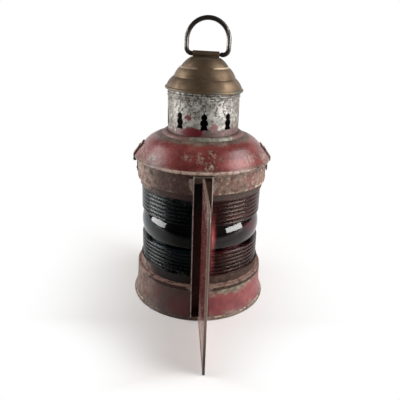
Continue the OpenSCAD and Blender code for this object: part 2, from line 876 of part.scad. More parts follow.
module hanging_ring() {
    color(iron) {
        translate([-pivot_half, 0, ring_z]) rotate([0, 90, 0])
            cylinder(r = pivot_r, h = 2 * pivot_half, $fn = 32);
        translate([0, 0, ring_z + ring_mid]) rotate([90, 0, 0]) rotate([0, 0, -ring_end])
            rotate_extrude(angle = 180 + 2 * ring_end)
            translate([ring_r, 0]) circle(r = wire_r, $fn = 32);
    }
}

module wick_spindle() {
    start = -lug_x - lug_t / 2 - 0.6;
    color(lamp_brass) translate([start, spindle_y, spindle_z]) rotate([0, 90, 0])
        cylinder(r = spindle_r, h = knob_x + knob_t - start, $fn = 48);
}

module spur_wheels() {
    root_r = wheel_r - 0.8;
    star = [for (i = [0:2 * wheel_teeth - 1])
        let (a = i * 180 / wheel_teeth, r = i % 2 == 0 ? wheel_r : root_r) [r * cos(a), r * sin(a)]];
    color(iron) for (side = [-1, 1])
        translate([side * wheel_x - wheel_w / 2, spindle_y, spindle_z]) rotate([0, 90, 0])
            linear_extrude(height = wheel_w) difference() {
                polygon(star);
                circle(r = spindle_r + seat_gap, $fn = 48);
            }
}

module wick_knob() {
    grips = 18;
    color(lamp_brass) translate([knob_x, spindle_y, spindle_z]) rotate([0, 90, 0])
        linear_extrude(height = knob_t) difference() {
            circle(r = knob_r);
            circle(r = spindle_r + seat_gap, $fn = 48);
            for (i = [0:grips - 1]) rotate(i * 360 / grips) translate([knob_r + 0.3, 0])
                circle(r = 0.75, $fn = 16);
        }
}

module wick() {
    bottom = font_z + tube_wall + wick_travel + 1.5;
    top = tube_top + 2.5;
    color("#d8cdb4") translate([-wick_w / 2, -wick_t / 2, bottom]) cube([wick_w, wick_t, top - bottom]);
}

base_skirt();
base_floor();
lens_seat();
back_shell();
lens_channels();
upper_collar();
lens_retainer();
green_lens();
red_lens();
centre_post();
screen_fin();
bracket_socket();
hinge_lower_leaf();
hinge_pin();
font_clips();
font_tank();
filler_cap();
burner_collar();
burner_base();
burner_cup();
burner_cone();
wick_tube();
dome();
hinge_upper_leaf();
catch_strap();
chimney_bead();
chimney();
draught_tube();
vent_cap();
ring_sleeve();
hanging_ring();
wick_spindle();
spur_wheels();
wick_knob();
wick();
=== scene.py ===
from math import copysign, cos, hypot, pi, radians, sin, sqrt

import bmesh
import bpy
from mathutils import Matrix, Vector, noise


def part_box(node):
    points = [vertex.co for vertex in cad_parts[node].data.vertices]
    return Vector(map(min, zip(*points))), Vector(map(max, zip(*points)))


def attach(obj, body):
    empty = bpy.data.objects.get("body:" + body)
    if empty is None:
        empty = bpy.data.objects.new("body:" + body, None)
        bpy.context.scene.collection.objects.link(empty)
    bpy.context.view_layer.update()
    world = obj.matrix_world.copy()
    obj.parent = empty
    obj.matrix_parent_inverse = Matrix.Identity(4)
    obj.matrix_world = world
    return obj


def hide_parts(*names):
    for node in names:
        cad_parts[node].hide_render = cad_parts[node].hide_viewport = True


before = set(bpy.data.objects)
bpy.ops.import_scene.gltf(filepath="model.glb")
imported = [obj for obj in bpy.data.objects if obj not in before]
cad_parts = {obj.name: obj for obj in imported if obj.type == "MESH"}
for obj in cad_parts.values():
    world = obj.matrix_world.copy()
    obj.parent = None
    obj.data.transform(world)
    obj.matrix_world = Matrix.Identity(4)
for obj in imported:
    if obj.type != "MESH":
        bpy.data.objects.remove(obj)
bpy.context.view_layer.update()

scene = bpy.context.scene
MM = 0.001


# ---- Flared skirt ----
# The foot of the lantern: a cone of tinned sheet, flared out at the bottom and rolled over a wire
# to make the rim that it stands on. It is painted a red that has faded and worn through on the rim.

def srgb(red, green, blue):
    """A colour as it is seen, from 0 to 255, as the linear values that a shader takes."""
    seen = [c / 255 for c in (red, green, blue)]
    return tuple(c / 12.92 if c <= 0.04045 else ((c + 0.055) / 1.055) ** 2.4 for c in seen) + (1.0,)


def feed(node, inputs):
    """Sets sockets of a shader node, each to a value or to another node's socket."""
    for key, value in inputs.items():
        if isinstance(value, bpy.types.NodeSocket):
            node.id_data.links.new(value, node.inputs[key])
        else:
            node.inputs[key].default_value = value


def put(kind, inputs, **settings):
    """Adds a shader node beside those that its inputs come from."""
    sockets = [value for value in inputs.values() if isinstance(value, bpy.types.NodeSocket)]
    node = sockets[0].id_data.nodes.new(kind)
    for key, value in settings.items():
        setattr(node, key, value)
    feed(node, inputs)
    return node


def sums(operation, first, *others):
    """Takes values together one after another. Some operations need only the first."""
    for other in others or (0.0,):
        first = put("ShaderNodeMath", {0: first, 1: other}, operation=operation).outputs[0]
    return first


def both(*shares):
    """The product of two shares or more: 1 only where all of them are."""
    return sums("MULTIPLY", *shares)


def grain(place, size_mm, detail=4.0, rough=0.55, stretch=(1, 1, 1)):
    """Noise from 0 to 1 whose features are about size_mm across, drawn out along stretch."""
    scale = put("ShaderNodeMapping", {"Vector": place, "Scale": [1 / s for s in stretch]})
    node = put("ShaderNodeTexNoise", {
        "Vector": scale.outputs[0], "Scale": 1 / (size_mm * MM), "Detail": detail, "Roughness": rough})
    return node.outputs[0]


def step_up(value, low, high):
    """0 below low and 1 above high, with a smooth step between."""
    node = put("ShaderNodeMapRange", {0: value, 1: low, 2: high, 3: 0.0, 4: 1.0},
               interpolation_type="SMOOTHSTEP")
    return node.outputs[0]


def step_mm(length, low, high):
    """The same step, between lengths in mm."""
    return step_up(length, low * MM, high * MM)


def ramp(value, low, high, start=0.0, stop=1.0):
    """Runs evenly from start, where the value is low, to stop, where it is high."""
    return put("ShaderNodeMapRange", {0: value, 1: low, 2: high, 3: start, 4: stop}).outputs[0]


def tint(amount, under, over, share=1.0):
    """The colour under, covered by the colour over where amount is 1, or by a share of it."""
    amount = amount if share == 1.0 else both(amount, share)
    return put("ShaderNodeMix", {0: amount, 6: under, 7: over}, data_type="RGBA").outputs[2]


def mottle(grit, low, high, first, second, share=1.0):
    """One colour where a noise is low and another where it is high."""
    return tint(step_up(grit, low, high), first, second, share)


def bands(height, edges):
    """1 at the given heights, fading out to both sides. Each is a middle and a half width in mm, and
    may have a strength."""
    total = None
    for z, half, *strength in edges:
        off = sums("ABSOLUTE", sums("SUBTRACT", height, z * MM))
        near = ramp(off, 0.0, half * MM, strength[0] if strength else 1.0, 0.0)
        total = near if total is None else sums("MAXIMUM", total, near)
    return total


def blot(place, centre, half, ragged, soft=0.12, torn=3.6):
    """1 inside a patch about a point on the lantern, given in mm, with a torn edge."""
    near = put("ShaderNodeMapping", {
        "Vector": place, "Location": [-c / h for c, h in zip(centre, half)],
        "Scale": [1 / (h * MM) for h in half]})
    far = put("ShaderNodeVectorMath", {0: near.outputs[0]}, operation="LENGTH").outputs[1]
    edge = sums("ADD", far, both(sums("SUBTRACT", ragged, 0.5), -torn))
    return step_up(edge, 1.0 + soft, 1.0 - soft)


def new_finish(name):
    """An empty material with its shader, its object coordinates and those coordinates apart."""
    finish = bpy.data.materials.new(name)
    finish.use_nodes = True
    tree = finish.node_tree
    shader = tree.nodes["Principled BSDF"]
    place = tree.nodes.new("ShaderNodeTexCoord").outputs["Object"]
    xyz = put("ShaderNodeSeparateXYZ", {0: place}).outputs
    return finish, shader, place, xyz


def emboss(shader, height, depth_mm):
    """Raises a surface by a noise, up to a depth in mm."""
    bump = put("ShaderNodeBump", {"Strength": 1.0, "Distance": depth_mm * MM, "Height": height})
    feed(shader, {"Normal": bump.outputs[0]})


def blend(first, second, share):
    """Two noises in one, with the given share of the first."""
    return sums("ADD", both(first, share), both(second, 1 - share))


DEEP_RED = srgb(88, 30, 31)
FADED_RED = srgb(150, 66, 66)
MUD_DARK = srgb(60, 48, 41)
MUD_LIGHT = srgb(126, 108, 94)
WORN_TAN = srgb(186, 168, 148)
WORN_GREY = srgb(150, 144, 134)


def old_paint(name, worn, grime, cover=0.2, gloss=0.38, reds=(DEEP_RED, FADED_RED), shine=0.5,
              side=None, more=None):
    """Faded red paint: blotched and scuffed, under a brown film that is thick at some heights, and
    worn to the tin in flakes at others."""
    finish, shader, place, xyz = new_finish(name)
    blotch = grain(place, 26, 4, 0.6)
    patch = grain(place, 8.5, 5, 0.62)
    fleck = grain(place, 2.2, 6, 0.6)
    flake = grain(place, 4.0, 6, 0.7)
    colour = mottle(blend(blotch, patch, 0.6), 0.36, 0.64, *reds)
    colour = mottle(fleck, 0.52, 0.70, colour, srgb(62, 30, 28), 0.4)
    film = sums("ADD", bands(xyz[2], grime), cover)
    if side:
        film = sums("ADD", film, side(xyz))
    mud = step_up(sums("ADD", both(film, 0.5), blend(patch, fleck, 0.7)), 0.56, 0.84)
    soil = mottle(blend(patch, flake, 0.45), 0.38, 0.62, MUD_DARK, MUD_LIGHT)
    colour = tint(mud, colour, soil, 0.94)
    rub = both(bands(xyz[2], worn), 0.3)
    bare = step_up(sums("ADD", rub, blend(flake, fleck, 0.7)), 0.68, 0.75)
    colour = tint(bare, colour, mottle(patch, 0.4, 0.6, WORN_TAN, WORN_GREY))
    if more:
        colour = more(place, xyz, flake, colour)
    rough = ramp(sums("ADD", both(mud, 0.7), fleck), 0.3, 1.3, gloss, gloss + 0.34)
    feed(shader, {"Base Color": colour, "Roughness": rough, "Metallic": both(bare, 0.2),
                  "Specular IOR Level": shine})
    emboss(shader, sums("SUBTRACT", both(fleck, 0.7), bare), 0.16)
    return finish


def curve(a, b, c, steps):
    """Points in mm along a curve from a to c that leans towards b."""
    points = []
    for i in range(steps + 1):
        t = i / steps
        points.append(tuple((1 - t) ** 2 * a[k] + 2 * t * (1 - t) * b[k] + t * t * c[k] for k in (0, 1)))
    return points


def sheet(line, thick):
    """The section of a sheet whose outer face follows a line that climbs."""
    inner = []
    for i in range(len(line)):
        (r0, z0), (r1, z1) = line[max(i - 1, 0)], line[min(i + 1, len(line) - 1)]
        size = hypot(r1 - r0, z1 - z0)
        inner.append((line[i][0] - thick * (z1 - z0) / size, line[i][1] + thick * (r1 - r0) / size))
    return list(line) + inner[::-1]


def wire(r, z, radius, corners=20, floor=-1e9):
    """The section of a rolled edge, cut flat where it stands on the ground."""
    turn = [2 * pi * i / corners for i in range(corners)]
    return [(r + radius * cos(a), max(z + radius * sin(a), floor)) for a in turn]


def turned(section, start=0.0, sweep=360.0, steps=160):
    """Spins a closed section of radii and heights in mm about the lantern's axis, from an angle that
    counts from the front towards port. A part turn is closed at both ends."""
    form = bmesh.new()
    a = radians(start - 90)
    points = [form.verts.new((r * MM * cos(a), r * MM * sin(a), z * MM)) for r, z in section]
    lines = [form.edges.new((p, q)) for p, q in zip(points, points[1:] + points[:1])]
    whole = sweep == 360.0
    bmesh.ops.spin(form, geom=points + lines, cent=(0, 0, 0), axis=(0, 0, 1), dvec=(0, 0, 0),
                   angle=radians(sweep), steps=max(2, round(steps * sweep / 360)), use_merge=whole)
    if not whole:
        bmesh.ops.holes_fill(form, edges=[e for e in form.edges if e.is_boundary], sides=0)
    return form


def hand_worked(form, amount_mm, size_mm, seed):
    """Leaves the sheet a little out of round, as old hand-worked tinplate is."""
    for v in form.verts:
        out = Vector((v.co.x, v.co.y, 0))
        if out.length > 5 * MM:
            lift = noise.noise(v.co / (size_mm * MM) + Vector((seed, 2 * seed, 0)))
            v.co += out.normalized() * lift * amount_mm * MM
    return form


def piece(name, forms, finish, body, nodes=(), soften_mm=0.0, sharp_deg=38):
    """Joins the forms into one object that rides on a body and stands for the CAD nodes named."""
    joined = bmesh.new()
    for form in forms:
        bmesh.ops.remove_doubles(form, verts=form.verts, dist=1e-6)
        bmesh.ops.recalc_face_normals(form, faces=form.faces)
        scrap = bpy.data.meshes.new("scrap")
        form.to_mesh(scrap)
        form.free()
        joined.from_mesh(scrap)
        bpy.data.meshes.remove(scrap)
    mesh = bpy.data.meshes.new(name)
    joined.to_mesh(mesh)
    joined.free()
    mesh.shade_smooth()
    mesh.set_sharp_from_angle(angle=radians(sharp_deg))
    mesh.materials.append(finish)
    made = bpy.data.objects.new(name, mesh)
    scene.collection.objects.link(made)
    if soften_mm:
        soften = made.modifiers.new("soften", "BEVEL")
        soften.width, soften.segments = soften_mm * MM, 2
        soften.limit_method, soften.angle_limit = "ANGLE", radians(sharp_deg)
    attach(made, body)
    if nodes:
        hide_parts(*nodes)
    return made


def screen_shade(xyz, colour, share):
    """Painted shade, dark brown, to starboard of the post, where the screen shadows the light from port."""
    screen_shadow_mask = both(step_mm(xyz[0], 2, -12), step_mm(xyz[0], -56, -30), step_mm(xyz[1], 0, -12))
    return tint(screen_shadow_mask, colour, srgb(44, 18, 14), share)


def skirt_patina_and_shade(place, xyz, ragged, colour):
    """A grey-green bloom along the top on the port side, where flux has eaten the paint, and painted shade
    to starboard of the post, dark red in one patch."""
    bloom = blot(place, (26, -50, 26.0), (19, 18, 3.6), ragged, 0.7)
    mould = mottle(ragged, 0.4, 0.62, srgb(82, 78, 62), srgb(136, 130, 110))
    colour = tint(bloom, colour, mould, 0.85)
    # Painted shade to starboard of the post, then a dark red patch in that shade.
    colour = screen_shade(xyz, colour, 0.85)
    red_in_shade = blot(place, (-16, -57, 11), (11, 10, 7.5), ragged, 0.6, 1.2)
    return tint(red_in_shade, colour, srgb(76, 24, 22), 0.8)


def starboard_mud(xyz):
    """More of the brown film towards the starboard side."""
    return ramp(xyz[0], 10 * MM, -50 * MM, 0.0, 0.5)


post_gap_deg = 8.0
skirt_paint = old_paint("skirt_paint", [(2.9, 1.0, 0.9), (27.4, 0.7, 0.7), (1.0, 1.6, 0.5)],
                        [(1.0, 3.4, 1.6), (27, 3, 0.6), (5.5, 4, 0.3)], 0.06, 0.34,
                        (srgb(98, 39, 41), srgb(136, 62, 64)), side=starboard_mud, more=skirt_patina_and_shade)
skirt_line = curve((60.88, 2.42), (58.3, 9.6), (58.0, 27.5), 18)
skirt_wall = turned(sheet(skirt_line, 0.8), post_gap_deg, 360 - 2 * post_gap_deg)
hand_worked(skirt_wall, 0.22, 26, 1)
skirt_fold = [(58.1, 26.6), (58.45, 26.6), (59.3, 9.4), (60.3, 4.2), (59.9, 4.2), (58.9, 9.4)]
skirt_seam = turned(skirt_fold, 178.2, 5.2)
piece("flared_skirt", [skirt_wall, turned(wire(60.4, 1.3, 1.6, 20, 0.0)), skirt_seam],
      skirt_paint, "housing", ["base_skirt"])


# ---- Lens seat ----
# A stepped ring of tinned sheet, soldered on the skirt. Its ledge carries the glass, and its lip keeps
# the foot of the glass in place. The paint on it is thin, and brown with grime in the corner.

def seat_grime_and_shade(place, xyz, ragged, colour):
    """Brown dirt on the lip under the glass, a dark outer wall, painted shade on the lip to starboard of
    the post, and the edge of the ledge between them rubbed to a pinkish grey, as is the starboard flank."""
    up = xyz[2]
    low = sums("MAXIMUM", step_mm(up, 32.0, 33.2), step_mm(up, 30.6, 30.0))
    dirt = mottle(ragged, 0.40, 0.62, srgb(36, 19, 14), srgb(66, 45, 36))
    colour = tint(low, colour, dirt, 0.9)
    pale = both(step_mm(xyz[0], -36, -48), step_up(ragged, 0.36, 0.56))
    # Painted shade to starboard of the post, near black on the lip.
    colour = screen_shade(xyz, tint(pale, colour, srgb(170, 150, 140), 0.5), 0.9)
    shade = both(step_mm(up, 31.8, 32.6), step_mm(xyz[0], 4, -6), step_mm(xyz[0], -46, -34))
    colour = tint(shade, colour, srgb(14, 11, 9), 0.85)
    rubbed = both(bands(up, [(31.4, 0.8, 1.3)]), step_up(ragged, 0.36, 0.54))
    return tint(rubbed, colour, srgb(146, 116, 105), 0.85)


seat_paint = old_paint("seat_paint", [(31.3, 0.8, 0.75), (39.5, 0.5, 0.6), (27.9, 0.6, 0.7)],
                       [(29.5, 2, 0.3)], 0.66, 0.46, shine=0.25, more=seat_grime_and_shade)
seat_section = [
    (58.0, 27.55), (58.05, 29.5), (57.9, 30.9), (57.3, 31.45), (56.0, 31.5), (54.9, 31.6), (54.6, 31.9),
    (54.6, 39.3), (54.45, 39.6), (53.95, 39.6), (53.8, 39.3), (53.8, 31.5),
    (46.5, 31.5), (46.5, 30.7), (57.2, 30.7), (57.2, 27.55)]
seat = hand_worked(turned(seat_section, post_gap_deg, 360 - 2 * post_gap_deg), 0.12, 20, 4)
piece("stepped_lens_seat", [seat], seat_paint, "housing", ["lens_seat"], 0.0, 30)


# ---- Centre post ----
# An upright channel of folded sheet between the two lenses, soldered to the seat and the collar by
# small tabs, with one more across the top of the hollow. Its front edges are worn bright, and its
# inside is painted dark as shade, with painted light on the inside of the port wall.

def post_shadow(place, xyz, ragged, colour):
    """Rubbed front edges, pale solder on the upper tabs, and a hollow painted dark as shade, red at the foot
    and near black above, dusty at the top, with painted light on the inside of the port wall."""
    port, up = xyz[0], xyz[2]
    front = both(xyz[1], -1.0)
    across = sums("ABSOLUTE", port)
    inside = step_mm(across, 7.35, 7.0)
    painted_light_port_wall = both(step_mm(port, 1.0, 3.0), step_mm(up, 20, 95))
    # The hollow is painted dark as shade, and the port wall inside it painted light as if lit.
    hollow = tint(step_mm(up, 92, 102), srgb(78, 31, 25), srgb(24, 13, 9))
    hollow = tint(painted_light_port_wall, hollow, tint(ragged, srgb(118, 104, 90), srgb(196, 178, 158)), 0.9)
    hollow = tint(step_mm(up, 122, 126), hollow, srgb(92, 80, 66))
    colour = tint(inside, colour, hollow, 0.96)
    tabs = both(step_mm(across, 7.9, 8.3), step_mm(up, 108, 112), step_up(ragged, 0.34, 0.56))
    colour = tint(tabs, colour, srgb(164, 150, 140), 0.8)
    edge = both(step_mm(front, 59.7, 60.2), step_mm(across, 6.8, 7.2))
    handled = sums("MAXIMUM", step_mm(port, 0.0, -1.0), step_mm(up, 96, 112))
    rubbed = both(edge, handled, step_up(ragged, 0.32, 0.5))
    return tint(rubbed, tint(edge, colour, srgb(104, 86, 78)), srgb(196, 186, 178))


def dress(finish, *nodes):
    """Gives CAD nodes that keep their own shape a better finish."""
    for shown in (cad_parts[node] for node in nodes):
        if shown.material_slots:
            for held in shown.material_slots:
                held.material = finish
        else:
            shown.data.materials.append(finish)


post_paint = old_paint("post_paint", [(3, 0.6)], [(8, 7), (31, 4), (118, 8, 0.8)], 0.5, 0.45,
                       more=post_shadow)
dress(post_paint, "centre_post")


def plate(outline, thick):
    """A flat plate in the plane of the screen, from points forward and up in mm."""
    form = bmesh.new()
    face = form.faces.new([form.verts.new((-thick / 2 * MM, -f * MM, z * MM)) for f, z in outline])
    raised = bmesh.ops.extrude_face_region(form, geom=[face])["geom"]
    bmesh.ops.translate(form, vec=(thick * MM, 0, 0),
                        verts=[g for g in raised if isinstance(g, bmesh.types.BMVert)])
    return form


tab_front, tab_thick = 59.4, 0.6
tab_outline = curve((-7.1, 125.6), (-4.0, 124.4), (-0.7, 126.4), 8) + [(-0.7, 130.9), (-7.1, 130.9)]
head_tab = plate(tab_outline, tab_thick)
bmesh.ops.rotate(head_tab, matrix=Matrix.Rotation(radians(90), 3, "Z"), verts=head_tab.verts)
bmesh.ops.translate(head_tab, vec=(0, -tab_front * MM, 0), verts=head_tab.verts)
piece("post_head_tab", [head_tab], post_paint, "housing", soften_mm=0.2)


# ---- Screen ----
# A thin plate of tinned sheet, let into the post, that stands forward and keeps each light on its own
# side. Its edges are folded into a hem, rounded at the upper corner and rubbed bare of paint. Knocks
# have bent it a little to port.

fin_back, fin_tip, fin_low, fin_high, fin_corner = 50.05, 130.0, 0.4, 130.4, 10.0
notch_front, notch_high, hem_back, hem_wide = 62.4, 3.85, 61.5, 2.6
fin_thick, hem_thick, bent_from, bent_by = 1.0, 2.0, 58.0, 2.4


def fin_line(inset, back):
    """The screen's top, front and foot edges, forward and up in mm, less a margin."""
    corner = fin_corner - inset
    middle = (fin_tip - fin_corner, fin_high - fin_corner)
    arc = [radians(90 - 90 * i / 20) for i in range(21)]
    line = [(back, fin_high - inset)]
    line += [(middle[0] + corner * cos(a), middle[1] + corner * sin(a)) for a in arc]
    return line + [(fin_tip - inset, fin_low + inset), (notch_front, fin_low + inset)]


def fin_wear_and_painted_light(place, xyz, ragged, colour):
    """A darker red stripe down the middle of the face, which is paler near the top and at the foot, where it
    is a painted reflection of the floor; the hem rubbed to a grey tan, and painted dark as shade where
    it nears the ground."""
    front = both(xyz[1], -1.0)
    colour = tint(step_mm(xyz[2], 70, 130), colour, srgb(120, 82, 77), 0.5)
    stripe = both(step_mm(front, 84, 104), step_mm(front, 126, 118), step_up(ragged, 0.3, 0.6))
    colour = tint(stripe, colour, srgb(96, 38, 38), 0.6)
    # A painted reflection of the floor, pale, on the foot of the face.
    foot = both(step_mm(xyz[2], 44, 6), step_up(ragged, 0.2, 0.6))
    colour = tint(foot, colour, srgb(196, 172, 164), 0.5)
    edge = sums("MAXIMUM", step_mm(front, 126.9, 127.6), step_mm(xyz[2], 127.3, 128.0))
    edge = both(edge, step_up(ragged, 0.2, 0.4))
    # Painted shade on the hem where it nears the ground.
    low = step_mm(xyz[2], 48, 12)
    return tint(edge, colour, tint(low, srgb(124, 104, 93), srgb(46, 36, 33)))


fin_paint = old_paint("fin_paint", [(0.8, 1.2, 0.6)], [(122, 12, 0.3), (6, 8, 0.2)], 0.10, 0.12,
                      (srgb(80, 30, 29), srgb(112, 58, 54)), more=fin_wear_and_painted_light)
fin_sheet = plate(fin_line(0.4, fin_back) + [(notch_front, notch_high), (fin_back, notch_high)], fin_thick)
for cut in range(64, 128, 8):
    bmesh.ops.bisect_plane(fin_sheet, geom=fin_sheet.verts[:] + fin_sheet.edges[:] + fin_sheet.faces[:],
                           plane_co=(0, -cut * MM, 0), plane_no=(0, 1, 0))
hem = plate(fin_line(0.0, hem_back) + fin_line(hem_wide, hem_back)[::-1], hem_thick)
for form in (fin_sheet, hem):
    for v in form.verts:
        v.co.x += bent_by * max(0.0, -v.co.y / MM - bent_from) / (fin_tip - bent_from) * MM
piece("upright_screen", [fin_sheet, hem], fin_paint, "housing", ["screen_fin"], 0.42, 50)


# ---- Lenses ----
# Two curved panes of pressed glass, green to starboard and ruby to port, held between the post and the
# channels. Each has a smooth bulging belt at the level of the flame, and prism ribs above and below
# that bend the light to the belt.

lens_foot, lens_top, lens_inner, lens_crest, lens_root = 31.55, 123.55, 47.5, 53.5, 51.9
belt_middle, belt_height, belt_curve = 73.3, 24.4, 24.0
rib_pitch, low_ribs, high_ribs = 3.5, 8, 10
rib_form = [(0.0, 0.0), (0.34, 0.07), (0.62, 0.18), (0.82, 0.32), (0.95, 0.48), (1.0, 0.64),
            (0.96, 0.78), (0.82, 0.89), (0.54, 0.965)]


def prisms(count, way):
    """The outer face of the ribs on one side of the belt, from the belt outwards. way is 1 for up."""
    face = []
    for rib in range(1, count + 1):
        foot = belt_height / 2 + rib * rib_pitch
        face += [(lens_root + (lens_crest - lens_root) * out, belt_middle + way * (foot - up * rib_pitch))
                 for out, up in rib_form[::-1]]
    return face


belt = []
for i in range(21):
    rise = belt_height * (i / 20 - 0.5)
    belt.append((lens_crest - belt_curve + sqrt(belt_curve ** 2 - rise ** 2), belt_middle + rise))
lens_section = [(lens_inner, lens_foot), (lens_root - 0.3, lens_foot), (lens_root, lens_foot + 0.3)]
lens_section += prisms(low_ribs, -1)[::-1] + belt + prisms(high_ribs, 1)
lens_section += [(lens_root, lens_top - 0.3), (lens_root - 0.3, lens_top), (lens_inner, lens_top)]


def pressed_glass(name, deep, film_colour, haze, dimmed, gloom, glow_colour, glow_share):
    """Deep coloured glass. A thin film of dust gathers in the valleys of the ribs, reflections on one pane
    are dimmed near the post as painted shade, and the end beside the post is painted with a glow."""
    finish, shader, place, xyz = new_finish(name)
    smear = grain(place, 14, 5, 0.6, (1, 1, 2.5))
    above = sums("ABSOLUTE", sums("SUBTRACT", xyz[2], belt_middle * MM))
    count = sums("DIVIDE", sums("SUBTRACT", above, belt_height / 2 * MM), rib_pitch * MM)
    valley = both(step_up(sums("FRACT", count), 0.80, 0.97), step_up(count, 0.0, 0.05))
    filled = both(valley, step_up(smear, 0.36, 0.66), 0.35)
    ribbed = step_up(count, -0.1, 0.3)
    clouded = both(ribbed, ramp(smear, 0.3, 0.7, 0.5 * haze, 1.5 * haze))
    rims = bands(xyz[2], [(37, 9), (109, 8, 0.7)])
    grease = both(rims, step_up(grain(place, 4, 5, 0.65), 0.42, 0.6), 0.75)
    dust = sums("MAXIMUM", filled, clouded, grease)
    across = sums("ABSOLUTE", xyz[0])
    front = both(xyz[1], -1.0)
    # A painted glow at the end beside the post.
    edge = both(step_mm(across, 14.0, 9.0), step_mm(front, 30, 40),
                bands(xyz[2], [(75, 30), (52, 24, 0.6)]), glow_share)
    solid = sums("MAXIMUM", dust, both(edge, 0.8))
    # Painted shade: reflections dimmed near the post.
    dimmed_near_post = step_mm(across, 38, 20)
    gleam = tint(ribbed, (1, 1, 1, 1), dimmed)
    rough = ramp(smear, 0.35, 0.75, 0.03, 0.12)
    feed(shader, {
        "Base Color": tint(edge, tint(dust, deep, film_colour), glow_colour),
        "Transmission Weight": sums("SUBTRACT", 1.0, solid), "IOR": 1.46, "Specular IOR Level": 0.3,
        "Roughness": sums("ADD", rough, both(ribbed, 0.14), both(dust, 0.5)),
        "Specular Tint": tint(dimmed_near_post, gleam, (0.05, 0.05, 0.05, 1), gloom)})
    return finish


green_glass = pressed_glass("green_glass", srgb(6, 28, 35), srgb(96, 94, 86), 0.04, (0.5, 0.52, 0.5, 1), 0.85,
                            srgb(10, 40, 44), 0.2)
red_glass = pressed_glass("red_glass", srgb(72, 10, 20), srgb(86, 70, 58), 0.12, (0.62, 0.48, 0.4, 1), 0.0,
                          srgb(214, 112, 112), 1.0)
lens_from, lens_arc = 9.35, 100.0
piece("starboard_green_lens", [turned(lens_section, -lens_from - lens_arc, lens_arc, 200)], green_glass,
      "housing", ["green_lens"], 0.0, 60)
piece("port_red_lens", [turned(lens_section, lens_from, lens_arc, 200)], red_glass,
      "housing", ["red_lens"], 0.0, 60)


# ---- Back shell and lens channels ----
# The blind rear wall is plain painted sheet, soldered between the seat and the collar, and a folded
# strip on each side of it holds the rear edge of a lens. Inside, both are black with soot.

SOOT = srgb(34, 28, 26)


def from_axis(xyz):
    """The distance from the lantern's axis."""
    flat = put("ShaderNodeCombineXYZ", {0: xyz[0], 1: xyz[1]})
    return put("ShaderNodeVectorMath", {0: flat.outputs[0]}, operation="LENGTH").outputs[1]


def sooty_inside(place, xyz, fleck, colour):
    """Soot on the faces that look at the flame."""
    return tint(step_mm(from_axis(xyz), 53.3, 53.0), colour, SOOT)


shell_paint = old_paint("shell_paint", [(37.5, 1.2, 0.7), (109, 1.2, 0.7), (72, 30, 0.12)],
                        [(38, 8, 0.6), (108, 8, 0.6)], 0.25, 0.42, more=sooty_inside)
dress(shell_paint, "back_shell", "lens_channels")


# ---- Upper collar ----
# A stepped band of sheet over the top of the glass, with a pressed bead above the step, soldered to
# the shell and the post. Hands and soot have left it brown over its red.

def lip_shade_and_wear(place, xyz, ragged, colour):
    """The lip below the step is painted darker as shade under the step, the band above it is flecked, the
    step and the starboard flank are rubbed light, and painted shade lies to starboard of the post."""
    # Painted shade on the lip under the step.
    colour = tint(step_mm(xyz[2], 115.0, 113.6), colour, srgb(40, 30, 25), 0.8)
    band = step_mm(xyz[2], 115, 116)
    colour = tint(both(band, step_up(ragged, 0.43, 0.36)), colour, srgb(50, 32, 28), 0.6)
    colour = tint(both(band, step_up(ragged, 0.56, 0.64)), colour, srgb(176, 154, 138), 0.6)
    rubbed = both(bands(xyz[2], [(115.4, 1.6)]), step_up(ragged, 0.48, 0.62))
    colour = tint(rubbed, colour, srgb(180, 162, 144), 1.2)
    weathered = both(step_mm(xyz[0], -30, -50), step_up(ragged, 0.34, 0.6))
    colour = tint(weathered, colour, srgb(182, 164, 150), 0.5)
    inner = both(band, step_mm(from_axis(xyz), 56.5, 56.3))
    return tint(inner, screen_shade(xyz, colour, 0.7), SOOT)


collar_paint = old_paint("collar_paint", [(108.9, 0.6, 0.5), (117.2, 0.8, 0.5), (126, 9, 0.42)],
                         [(131, 5, 0.3)], 0.52, 0.46, (srgb(104, 44, 41), srgb(172, 118, 109)), 0.35,
                         more=lip_shade_and_wear)
collar_section = [
    (53.8, 108.85), (53.95, 108.7), (54.45, 108.7), (54.6, 108.85), (54.6, 113.9), (54.9, 114.35),
    (56.2, 114.4), (56.75, 114.7), (56.8, 115.4), (56.8, 116.4), (57.05, 116.8), (57.1, 117.2),
    (57.05, 117.6), (56.8, 118.0), (56.8, 135.3), (56.0, 135.3), (56.0, 115.3), (53.8, 115.3)]
collar = hand_worked(turned(collar_section, post_gap_deg, 360 - 2 * post_gap_deg), 0.15, 24, 7)
bridge_section = [(56.8, 131.25), (56.8, 135.3), (56.0, 135.3), (56.0, 131.25)]
bridge = turned(bridge_section, -post_gap_deg, 2 * post_gap_deg)
collar_seam = turned([(56.78, 118.4), (57.15, 118.4), (57.15, 134.8), (56.78, 134.8)], 177.4, 5.0)
piece("stepped_collar", [collar, bridge, collar_seam], collar_paint, "housing",
      ["upper_collar"], 0.0, 30)


# ---- Bracket socket ----
# A bent iron strap riveted to the back of the shell. The lantern slides down by it over the tongue
# of a lamp iron. It is dark, with rust in patches.

def dark_iron(name, shine=0.44, highlight_at=None):
    """Dark forged iron with rust in patches, and painted highlights where a mask is given."""
    finish, shader, place, xyz = new_finish(name)
    blotch = grain(place, 6, 5, 0.62)
    fleck = grain(place, 0.9, 5, 0.6)
    colour = mottle(blotch, 0.46, 0.70, srgb(52, 48, 45), srgb(64, 52, 45))
    colour = mottle(fleck, 0.55, 0.72, colour, srgb(40, 36, 33))
    if highlight_at:
        rubbed = both(highlight_at(place, xyz), step_up(fleck, 0.40, 0.56))
        colour = tint(rubbed, colour, srgb(158, 154, 147))
    rough = ramp(fleck, 0.3, 0.7, shine, shine + 0.2)
    feed(shader, {"Base Color": colour, "Roughness": rough, "Metallic": 0.8})
    emboss(shader, fleck, 0.1)
    return finish


bracket_iron = dark_iron("bracket_iron")
dress(bracket_iron, "bracket_socket")


